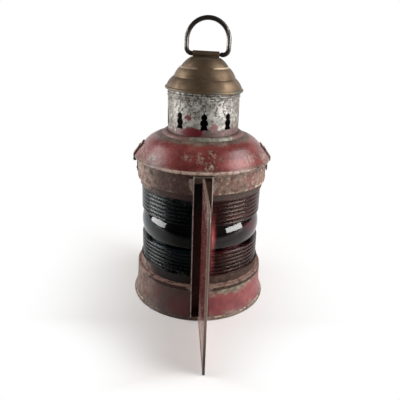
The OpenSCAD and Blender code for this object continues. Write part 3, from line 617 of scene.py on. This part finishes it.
def rivet(at, out, radius=1.5, tall=0.75):
    """A domed rivet head at a point in mm, standing out along a direction."""
    form = bmesh.new()
    rim = [form.verts.new((radius * MM * cos(t), 0, tall * MM * sin(t)))
           for t in [radians(90 * i / 6) for i in range(7)]]
    lines = [form.edges.new((p, q)) for p, q in zip(rim, rim[1:])]
    bmesh.ops.spin(form, geom=rim + lines, cent=(0, 0, 0), axis=(0, 0, 1), dvec=(0, 0, 0),
                   angle=2 * pi, steps=16, use_merge=True)
    bmesh.ops.holes_fill(form, edges=[e for e in form.edges if e.is_boundary], sides=0)
    turn = Vector(out).to_track_quat("Z", "Y").to_matrix().to_4x4()
    bmesh.ops.transform(form, matrix=Matrix.Translation(Vector(at) * MM) @ turn, verts=form.verts)
    return form


shell_r, rivet_deg = 55.0, 18.5
socket_rivets = []
for side in (-1, 1):
    for z in (68, 91):
        a = radians(90 - side * rivet_deg)
        out = (cos(a), sin(a), 0)
        socket_rivets.append(rivet((out[0] * shell_r, out[1] * shell_r, z), out, 1.8, 0.9))
piece("socket_rivets", socket_rivets, bracket_iron, "housing")


# ---- Base floor, retainer and font clips ----
# Plain tinned pieces inside the housing: a floor with air holes, the ring that keeps the glass down
# and the springs that centre the font. They are dull grey, spotted with dark tarnish.

def dull_zinc(name, film=(), patches=(), specks=(), light=1.0, over=None):
    """Galvanised sheet: cloudy spangle, dark specks that crowd at some heights, a thin red film at
    others, and remnants of red paint."""
    finish, shader, place, xyz = new_finish(name)
    cloud = grain(place, 9, 5, 0.6)
    fleck = grain(place, 2.1, 5, 0.62)
    ragged = grain(place, 2.6, 5, 0.65)
    spangle = put("ShaderNodeTexVoronoi", {"Vector": place, "Scale": 1 / (3.4 * MM)}, feature="F1")
    shade = put("ShaderNodeSeparateXYZ", {0: spangle.outputs["Color"]}).outputs[0]
    tone = sums("ADD", both(shade, 0.22), both(cloud, 0.8))
    greys = [srgb(*(c * light for c in grey)) for grey in ((146, 142, 135), (212, 209, 202))]
    colour = mottle(tone, 0.32, 0.70, *greys)
    crowd = blend(fleck, ragged, 0.7)
    if specks:
        crowd = sums("ADD", crowd, both(bands(xyz[2], specks), 0.12))
    tarnish = tint(cloud, srgb(44, 38, 33), srgb(92, 82, 72))
    colour = mottle(crowd, 0.58, 0.63, colour, tarnish, 0.92)
    if film:
        stain = both(bands(xyz[2], film), step_up(ragged, 0.38, 0.56))
        colour = tint(stain, colour, srgb(150, 98, 94))
    if over:
        colour = over(place, xyz, ragged, colour)
    for centre, half, torn, shown in patches:
        colour = tint(blot(place, centre, half, ragged, 0.2, torn), colour, shown)
    rough = ramp(tone, 0.2, 0.8, 0.6, 0.42)
    feed(shader, {"Base Color": colour, "Roughness": rough, "Metallic": 0.2})
    emboss(shader, fleck, 0.07)
    return finish


inner_tin = dull_zinc("inner_tin", light=0.66)
dress(inner_tin, "base_floor", "lens_retainer", "font_clips")


# ---- Oil lamp ----
# The brass lamp that stands between the springs: a font for the oil with a filler cap, and a burner
# for a flat wick, with its cup, flame guide and wick tube, and the spindle, iron spur wheels and knob
# that raise the wick.

def brass(name, bright, dull, dark, shine):
    """Brass under a patina, spotted dark."""
    finish, shader, place, _ = new_finish(name)
    cloud = grain(place, 8, 5, 0.6)
    fleck = grain(place, 1.2, 5, 0.62)
    colour = mottle(cloud, 0.36, 0.66, bright, dull)
    colour = mottle(fleck, 0.58, 0.74, colour, dark)
    rough = ramp(cloud, 0.3, 0.7, shine, shine + 0.16)
    feed(shader, {"Base Color": colour, "Roughness": rough, "Metallic": 0.85})
    emboss(shader, fleck, 0.04)
    return finish


lamp_brass = brass("lamp_brass", srgb(196, 160, 96), srgb(142, 108, 62), srgb(82, 62, 42), 0.3)
dress(lamp_brass, "font_tank", "filler_cap", "burner_collar", "burner_base", "burner_cup", "burner_cone",
      "wick_tube", "wick_spindle", "wick_knob")
dress(bracket_iron, "spur_wheels")


# ---- Wick ----
# A flat woven cotton tape that stands in the oil and passes up through its tube. Its top is trimmed
# a little round at the corners and charred.

wick_low, wick_high = (corner.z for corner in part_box("wick"))
wick_wide, wick_thick, weave_deep, corner_trim = 13.6, 2.5, 0.16, 0.012
weave = bmesh.new()
bmesh.ops.create_cube(weave, size=1.0, matrix=Matrix.Translation((0, 0, (wick_low + wick_high) / 2))
                      @ Matrix.Diagonal((wick_wide * MM, wick_thick * MM, wick_high - wick_low, 1)))
upright = [e for e in weave.edges if abs(e.verts[0].co.z - e.verts[1].co.z) > MM]
bmesh.ops.subdivide_edges(weave, edges=upright, cuts=46)
across = [e for e in weave.edges if abs(e.verts[0].co.x - e.verts[1].co.x) > MM]
bmesh.ops.subdivide_edges(weave, edges=across, cuts=13)
for v in weave.verts:
    cord_row = cos(v.co.x / MM * pi) * cos(v.co.z / MM * pi)
    v.co.y += copysign(weave_deep * MM * cord_row, v.co.y)
    if v.co.z > wick_high - 0.1 * MM:
        v.co.z -= corner_trim * (v.co.x / MM) ** 2 * MM

cotton, shader, place, xyz = new_finish("wick_cotton")
thread = grain(place, 0.5, 3)
char = step_up(sums("ADD", xyz[2], both(thread, 2 * MM)), wick_high - 3.5 * MM, wick_high)
colour = tint(thread, srgb(206, 196, 172), srgb(164, 148, 118))
feed(shader, {"Base Color": tint(char, colour, srgb(26, 22, 20)), "Roughness": 0.9})
emboss(shader, thread, 0.15)
piece("cotton_wick", [weave], cotton, "wick", ["wick"], 0.0, 60)


# ---- Dome ----
# The lid's shoulder, spun from one sheet of tinplate with its edge rolled over a wire. The red on it is
# dull, rubbed off the rim, and stained brown from the soldered joint with the chimney.
# Pink highlights are painted on both flanks and at the front of the rim.

dome_flank, dome_shoulder = (55.2, 139.85), (42.9, 152.65)
dome_bend = tuple((a + b) / 2 for a, b in zip(dome_flank, dome_shoulder))
dome_line = curve((59.22, 133.86), dome_flank, dome_bend, 16)
dome_line += curve(dome_bend, dome_shoulder, (31.05, 153.25), 18)[1:]
dome_thick = 0.8


def under_dome(xyz):
    """1 on the underside of the dome, which is whatever lies below the middle of its sheet."""
    r_from, z_from, span = 30, 130, 30
    out = ramp(from_axis(xyz), r_from * MM, (r_from + span) * MM)
    middle = put("ShaderNodeFloatCurve", {"Value": out})
    bend = middle.mapping.curves[0]
    stops = [((r - r_from) / span, (z - z_from) / span)
             for r, z in sheet(dome_line, dome_thick / 2)[len(dome_line):]]
    bend.points[0].location, bend.points[1].location = stops[0], stops[-1]
    for stop in stops[1:-1]:
        bend.points.new(*stop)
    middle.mapping.update()
    height = ramp(xyz[2], z_from * MM, (z_from + span) * MM)
    return step_up(sums("SUBTRACT", middle.outputs[0], height), -0.004, 0.004)


def dome_chips_and_highlights(place, xyz, ragged, colour):
    """Pink painted highlights on both flanks, crumbs of grey where paint has come off in flakes, dark pits
    beside them, a rim brown at the sides and pale at the front, a painted highlight over worn paint, and
    soot underneath."""
    # Pink painted highlights on both flanks.
    for centre, half, share in (((25, -49, 138.6), (12, 11, 3.2), 0.5), ((-33, -40, 145), (11, 12, 6), 0.25)):
        painted_highlight = blot(place, centre, half, ragged, 0.7, 0.8)
        colour = tint(painted_highlight, colour, srgb(184, 104, 100), share)
    crumbs = grain(place, 2.4, 5, 0.68)
    pale = step_up(crumbs, 0.49, 0.57)
    pits = step_up(crumbs, 0.44, 0.38)
    for centre, half, share in (
            ((-12.6, -49.4, 144), (3.6, 6, 3.4), 0.7), ((-2.5, -51.1, 143.4), (3.2, 6, 4.2), 0.65),
            ((6.6, -50.2, 146), (4.2, 6, 3.4), 0.6), ((4.8, -54.8, 138.0), (4.4, 5, 2.8), 1.0),
            ((14, -50, 142.4), (3, 5, 2.0), 0.5), ((51, -22, 140), (4, 9, 6), 0.6),
            ((-40, -40, 139), (9, 11, 3.6), 0.6), ((-50, -20, 141), (5, 12, 5), 0.5),
            ((40, -38, 141), (6, 9, 3), 0.35)):
        near = blot(place, centre, half, ragged, 0.5, 2.2)
        colour = tint(both(near, pits), colour, srgb(58, 30, 27), share)
        colour = tint(both(near, pale), colour, srgb(160, 146, 130), share)
    colour = tint(under_dome(xyz), colour, tint(ragged, SOOT, srgb(78, 64, 56)))
    # The rim is brown at the sides and pale at the front, a painted highlight.
    brown = mottle(ragged, 0.40, 0.58, srgb(66, 46, 36), srgb(132, 98, 84))
    rubbed = mottle(ragged, 0.36, 0.54, srgb(116, 90, 78), srgb(190, 164, 150))
    front = step_mm(sums("ABSOLUTE", xyz[0]), 44, 24)
    rim = step_mm(xyz[2], 134.8, 134.2)
    return tint(rim, colour, tint(front, brown, rubbed), 0.95)


dome_paint = old_paint("dome_paint", [(138, 8, 0.12), (150, 4, 0.2)], [(152.8, 2.4, 0.8), (135.0, 1.6, 0.3)],
                       0.08, 0.21, (srgb(88, 33, 31), srgb(128, 58, 54)), 0.4, more=dome_chips_and_highlights)
dome = hand_worked(turned(sheet(dome_line, dome_thick)), 0.2, 30, 3)
piece("domed_lid", [dome, turned(wire(58.5, 132.95, 1.2))], dome_paint, "lid", ["dome"])


# ---- Hinge and catch ----
# A strap hinge to starboard, its leaves riveted to the dome and the collar about a pin, and a spring
# strap to port that grips the collar and keeps the lid shut. They were painted over with the dome.

strap_paint = old_paint("strap_paint", [(143, 1.2, 0.8), (133, 1.4, 0.8), (122, 1.0, 0.8)],
                        [(128, 4, 0.5), (137, 6, 0.5)], 0.5, 0.45)
dress(strap_paint, "hinge_lower_leaf", "hinge_upper_leaf", "catch_strap")
dress(bracket_iron, "hinge_pin")
lid_rivets, leaf_rivets = [], []
for side in (-1, 1):
    for y in (-4, 4):
        lid_rivets.append(rivet((side * 55.65, y, 140.05), (side * 0.777, 0, 0.629), 1.3, 0.65))
        if side < 0:
            leaf_rivets.append(rivet((side * 57.5, y, 121.2), (side, 0, 0), 1.3, 0.6))
piece("strap_rivets", lid_rivets, strap_paint, "lid")
piece("leaf_rivets", leaf_rivets, strap_paint, "housing")


# ---- Chimney ----
# A galvanised tube with a row of stamped vent slots and two pressed beads near the top, soldered
# into the dome with a thick bead of solder. Patches of the lantern's red are left on the zinc.

def port_film_and_shade(place, xyz, ragged, colour):
    """Brown painted shade round the left and right sides, a pink film left above the solder, higher up to
    port, and dark lines about the two pressed beads."""
    # Painted shade, brown, round the left and right sides.
    sides = both(step_mm(sums("ABSOLUTE", xyz[0]), 17, 29), step_up(ragged, 0.34, 0.54))
    dirt = mottle(ragged, 0.42, 0.60, srgb(124, 112, 101), srgb(84, 76, 68))
    colour = tint(sides, colour, dirt, 0.85)
    port = ramp(xyz[0], -10 * MM, 6 * MM, 0.5, 1.0)
    low = sums("MAXIMUM", both(port, bands(xyz[2], [(155, 10)])), bands(xyz[2], [(155, 6)]))
    cover = step_up(sums("ADD", both(low, 0.55), ragged), 0.56, 0.72)
    pink = mottle(ragged, 0.4, 0.6, srgb(72, 37, 35), srgb(108, 76, 71))
    colour = tint(cover, colour, pink, 0.85)
    lines = both(bands(xyz[2], [(184.4, 0.6), (186.6, 0.5), (188.6, 0.7)]), step_up(ragged, 0.36, 0.54))
    return tint(lines, colour, srgb(46, 39, 34), 0.88)


red_left = [((-9.3, -29.0, 159.0), (9.2, 9, 3.8), 1.3, srgb(104, 19, 31)),
            ((-13.1, -27.7, 170.5), (2.7, 4, 2.8), 2.4, srgb(112, 50, 55)),
            ((8.6, -29.3, 163.0), (3.6, 4, 3.2), 2.4, srgb(138, 98, 98))]
chimney_zinc = dull_zinc("chimney_zinc", [(156.5, 3.0, 0.6)], red_left,
                         [(190, 14), (182, 26, 0.7), (163, 26, 0.5)], 0.91, port_film_and_shade)
dress(chimney_zinc, "chimney")

sooted_tin, shader, place, _ = new_finish("sooted_tin")
soot = grain(place, 3, 4)
feed(shader, {"Base Color": tint(soot, srgb(8, 7, 6), srgb(24, 20, 18)), "Roughness": 0.95,
              "Specular IOR Level": 0.05})
emboss(shader, soot, 0.1)
dress(sooted_tin, "draught_tube")


def bead_paint(place, xyz, ragged, colour):
    """Red and brown over the bead, save for the front, where the solder is bare."""
    open_front = both(step_mm(xyz[0], -13, -9), step_mm(xyz[0], 27, 22), step_mm(xyz[1], 4, -6))
    painted = sums("SUBTRACT", sums("ADD", ragged, 0.22), both(open_front, 0.34))
    cover = step_up(painted, 0.40, 0.58)
    colour = tint(0.5, colour, srgb(132, 130, 108))
    colour = mottle(ragged, 0.42, 0.60, colour, srgb(88, 74, 62), 0.6)
    return tint(cover, colour, tint(ragged, srgb(82, 42, 40), srgb(128, 92, 84)), 0.92)


solder_zinc = dull_zinc("solder_zinc", light=0.7, over=bead_paint)
solder_section = [(30.7, 153.0), (32.6, 152.6), (34.6, 152.6), (35.4, 152.9), (35.1, 153.7),
                  (34.4, 154.7), (33.4, 155.4), (32.2, 155.65), (31.2, 155.3), (30.7, 155.2)]
solder = hand_worked(turned(solder_section), 0.4, 6, 9)
piece("chimney_solder_bead", [solder], solder_zinc, "lid", ["chimney_bead"], 0.0, 50)


# ---- Vent cap ----
# Spun brass in three bulging steps with a rolled rim, closed on top and soldered on a little askew.
# Weather has turned it brown, and green along the rim.

cap_finish, shader, place, xyz = new_finish("old_brass_cap")
cloud = grain(place, 10, 5, 0.6)
fleck = grain(place, 1.0, 5, 0.62)
spun = grain(place, 2.4, 3, 0.5, (12, 12, 0.5))
colour = mottle(cloud, 0.36, 0.66, srgb(116, 97, 76), srgb(91, 74, 58))
colour = mottle(spun, 0.45, 0.75, colour, srgb(120, 104, 84), 0.3)
colour = mottle(fleck, 0.6, 0.74, colour, srgb(54, 42, 36))
verdigris = both(bands(xyz[2], [(190.8, 2.0), (215.8, 0.6)]), step_up(cloud, 0.40, 0.62))
colour = tint(verdigris, colour, srgb(104, 104, 92))
# A painted highlight: bright lines on the upper crease, to either side of the middle.
bright = both(bands(xyz[2], [(208.5, 0.8, 1.4)]), step_mm(sums("ABSOLUTE", xyz[0]), 5, 9))
colour = tint(bright, colour, srgb(196, 174, 148))
rough = ramp(cloud, 0.3, 0.7, 0.42, 0.56)
feed(shader, {"Base Color": colour, "Roughness": rough, "Metallic": 0.8})
emboss(shader, sums("ADD", fleck, spun), 0.05)

cap_rim_r, cap_rim_z, bulge, cap_tip_deg = 32.1, 191.05, 1.3, 1.5
steps = [((32.2, 191.96), (26.9, 199.7)), ((26.0, 200.2), (20.9, 208.2)), ((20.0, 208.65), (12.6, 215.8))]
cap_line = []
for (r0, z0), (r1, z1) in steps:
    size = hypot(r1 - r0, z1 - z0)
    lean = ((r0 + r1) / 2 + bulge * (z1 - z0) / size, (z0 + z1) / 2 - bulge * (r1 - r0) / size)
    cap_line += curve((r0, z0), lean, (r1, z1), 10)
cap_line += [(12.0, 215.95), (0.02, 215.95)]
cap = hand_worked(turned(sheet(cap_line, 0.8)), 0.14, 18, 11)


def askew(form):
    """Tips the cap and what sits on it a little to port, as it was soldered on."""
    tip = Matrix.Rotation(radians(cap_tip_deg), 4, "Y")
    middle = Matrix.Translation((0, 0, cap_rim_z * MM))
    bmesh.ops.transform(form, matrix=middle @ tip @ middle.inverted(), verts=form.verts)
    return form


cap_rim = turned(wire(cap_rim_r, cap_rim_z, 1.2))
piece("stepped_cap", [askew(cap), askew(cap_rim)], cap_finish, "lid", ["vent_cap"], 0.0, 34)


# ---- Ring sleeve ----
# A strip of brass rolled into a sleeve round the ring's pivot, with its two edges turned out as feet
# and soldered to the top of the cap.

sleeve_long, pivot_z = 22.0, 218.607


def sleeve_arc(radius, start, stop, count=26):
    """Part of a round about the pivot, back and up in mm."""
    turn = [radians(start + (stop - start) * i / count) for i in range(count + 1)]
    return [(radius * cos(a), pivot_z + radius * sin(a)) for a in turn]


foot = [(3.3, 216.02), (3.2, 216.4), (2.3, 216.75)]
rolled = foot + sleeve_arc(2.55, -42, 222) + [(-y, z) for y, z in foot[::-1]] + sleeve_arc(1.66, 232, -52)
strip = plate([(-y, z) for y, z in rolled], sleeve_long)
piece("rolled_sleeve", [askew(strip)], cap_finish, "lid", ["ring_sleeve"], 0.12, 40)


# ---- Hanging ring ----
# Iron wire bent into a round and turned in at the foot, where its two ends run into the sleeve.
# It is dark, with painted highlights streaked along the legs.

wire_r, pivot_r, ring_r, ring_rise, bend_r = 1.9, 1.4, 17.4, 10.8, 4.6
pin_half, swell_run, set_over = 11.2, 0.1, 1.0


def ring_leg_highlights(place, xyz):
    """Light streaks on the right side of each leg, a painted highlight."""
    away = sums("ABSOLUTE", sums("SUBTRACT", xyz[0], 1.5 * MM))
    flank = bands(away, [(16.6, 1.2), (18.6, 0.9)])
    return both(flank, step_mm(xyz[2], 222, 226))


ring_iron = dark_iron("ring_iron", 0.3, ring_leg_highlights)
ring = bmesh.new()
at_pivot = Matrix.Translation((0, 0, pivot_z * MM)) @ Matrix.Rotation(pi / 2, 4, "Y")
bmesh.ops.create_circle(ring, cap_ends=False, segments=20, radius=pivot_r * MM, matrix=at_pivot)
end = ring.edges[:]


def drawn(form, end, by):
    """Takes the open edges of a form straight on by a step, and gives the edges and points there."""
    grown = bmesh.ops.extrude_edge_only(form, edges=end)["geom"]
    tips = [g for g in grown if isinstance(g, bmesh.types.BMVert)]
    bmesh.ops.translate(form, vec=by, verts=tips)
    return [g for g in grown if isinstance(g, bmesh.types.BMEdge) and all(v in tips for v in g.verts)], tips


def draw_on(end, x, z=0.0, swell=1.0):
    """Takes the open end of the wire on by a step in mm, a little thicker or thinner."""
    end, tips = drawn(ring, end, (x * MM, 0, z * MM))
    middle = sum((v.co for v in tips), Vector()) / len(tips)
    bmesh.ops.scale(ring, vec=(1, swell, swell), space=Matrix.Translation(-middle), verts=tips)
    return end


def bend_on(end, x, z, turn, count):
    """Takes the open end of the wire on round a bend about a point in mm."""
    grown = bmesh.ops.spin(ring, geom=end, cent=(x * MM, 0, z * MM), axis=(0, -1, 0), dvec=(0, 0, 0),
                           angle=turn, steps=count)["geom_last"]
    return [g for g in grown if isinstance(g, bmesh.types.BMEdge)]


foot_x, leg = ring_r - bend_r, ring_rise - bend_r
foot_run = foot_x - (pin_half + swell_run)
end = draw_on(end, pin_half)
end = draw_on(end, swell_run, 0.0, wire_r / pivot_r)
end = draw_on(end, foot_run)
end = bend_on(end, foot_x, pivot_z + bend_r, pi / 2, 9)
end = draw_on(end, 0.0, leg)
end = bend_on(end, 0, pivot_z + ring_rise, pi, 56)
end = draw_on(end, 0.0, -leg)
end = bend_on(end, -foot_x, pivot_z + bend_r, pi / 2, 9)
end = draw_on(end, foot_run)
end = draw_on(end, swell_run, 0.0, pivot_r / wire_r)
end = draw_on(end, pin_half)
bmesh.ops.translate(ring, vec=(set_over * MM, 0, 0), verts=ring.verts)
piece("hanging_wire_ring", [askew(ring)], ring_iron, "ring", ["hanging_ring"], 0.0, 60)


# ---- Studio ----
# A white paper sweep under and behind the lantern, a low and a high soft lamp on each side, the
# right ones the stronger, and the camera at the height of the ring, looking down at the lantern.

ground = bmesh.new()
near_edge = [ground.verts.new((x, -2.5, 0)) for x in (-4, 4)]
lip = [ground.edges.new(near_edge)]
for by in ((0, 4.6, 0), (0, 0.25, 0.04), (0, 0.2, 0.12), (0, 0.12, 0.2), (0, 0.04, 0.25), (0, 0, 1.2)):
    lip, _ = drawn(ground, lip, by)
bmesh.ops.recalc_face_normals(ground, faces=ground.faces)
sweep_mesh = bpy.data.meshes.new("paper_sweep")
ground.to_mesh(sweep_mesh)
ground.free()
sweep_mesh.shade_smooth()
sweep = bpy.data.objects.new("paper_sweep", sweep_mesh)
scene.collection.objects.link(sweep)
paper = bpy.data.materials.new("white_paper")
paper.use_nodes = True
tree = paper.node_tree
tree.nodes.clear()
place = tree.nodes.new("ShaderNodeTexCoord").outputs["Object"]
rays = tree.nodes.new("ShaderNodeLightPath").outputs
spot = put("ShaderNodeSeparateXYZ", {0: place}).outputs
across, ahead, _ = spot
mirrored = both(rays["Is Glossy Ray"], step_up(ahead, -0.12, 0.05))
seen = sums("MAXIMUM", mirrored, rays["Is Camera Ray"], rays["Is Transmission Ray"])
seen = both(seen, step_up(from_axis(spot), 0.052, 0.060))
# The paper is lifted to plain white, painted light, save in a band along the screen's line beside the
# lantern, where its shadow shows.
narrow = ramp(ahead, -0.06, -0.13, 1.0, 2.3)
aside = both(sums("ABSOLUTE", sums("ADD", across, 0.012)), narrow)
away = sums("MAXIMUM", step_up(aside, 0.01, 0.155), step_up(ahead, 0.02, 0.15),
            step_up(ahead, -0.122, -0.150))
fall = ramp(ahead, -0.165, -0.32, 1.0, 0.12)
warm = tint(fall, (0, 0, 0, 1), (0.82, 0.79, 0.765, 1))
dull = put("ShaderNodeBsdfDiffuse", {"Color": warm})
lift = put("ShaderNodeEmission", {"Color": (1, 1, 1, 1), "Strength": both(seen, 0.15)})
glow = sums("MAXIMUM", fall, rays["Is Camera Ray"])
white = put("ShaderNodeEmission", {"Color": (1, 1, 1, 1), "Strength": glow})
lit = put("ShaderNodeAddShader", {0: dull.outputs[0], 1: lift.outputs[0]})
shown = put("ShaderNodeMixShader", {0: both(away, seen), 1: lit.outputs[0], 2: white.outputs[0]})
put("ShaderNodeOutputMaterial", {"Surface": shown.outputs[0]})
sweep_mesh.materials.append(paper)

room = bpy.data.worlds.new("room")
scene.world = room
room.use_nodes = True
tree = room.node_tree
looked_at = tree.nodes.new("ShaderNodeLightPath").outputs["Is Camera Ray"]
feed(tree.nodes["Background"], {"Color": tint(looked_at, (0.15, 0.148, 0.145, 1), (1, 1, 1, 1))})


def soft_lamp(name, at, aim, wide, tall, power):
    """A wide soft lamp, pointed at a spot on the lantern."""
    lamp = bpy.data.lights.new(name, "AREA")
    lamp.shape, lamp.size, lamp.size_y, lamp.energy = "RECTANGLE", wide, tall, power
    stand = bpy.data.objects.new(name, lamp)
    scene.collection.objects.link(stand)
    stand.location = at
    stand.rotation_euler = (Vector(aim) - Vector(at)).to_track_quat("-Z", "Y").to_euler()


soft_lamp("right_low_lamp", (0.82, -0.36, 0.20), (0, 0, 0.10), 0.58, 0.29, 7.6)
soft_lamp("right_high_lamp", (0.72, -0.03, 0.78), (0, 0, 0.14), 0.66, 0.4, 5.8)
soft_lamp("left_low_lamp", (-0.9, -0.03, 0.20), (0, 0, 0.10), 0.62, 0.30, 6.2)
soft_lamp("left_high_lamp", (-0.80, 0.17, 0.66), (0, 0, 0.14), 0.6, 0.4, 3.6)

camera = bpy.data.cameras.new("photo_camera")
camera.sensor_width, camera.lens = 36.0, 42.56
camera.shift_x, camera.shift_y = -0.0014, 0.0079
camera.clip_start, camera.clip_end = 0.01, 50
eye = bpy.data.objects.new("photo_camera", camera)
scene.collection.objects.link(eye)
turn_deg, tilt_deg, lean_deg, stand_off, rise = 1.62, 21.1, 1.78, 0.4092, 0.2442
turn = radians(turn_deg)
eye.location = (-stand_off * sin(turn), -stand_off * cos(turn), rise)
eye.rotation_euler = (Matrix.Rotation(-turn, 3, "Z")
                      @ Matrix.Rotation(radians(90 - tilt_deg), 3, "X")
                      @ Matrix.Rotation(radians(lean_deg), 3, "Z")).to_euler()
scene.camera = eye
scene.view_settings.view_transform = "Standard"

bpy.context.view_layer.update()
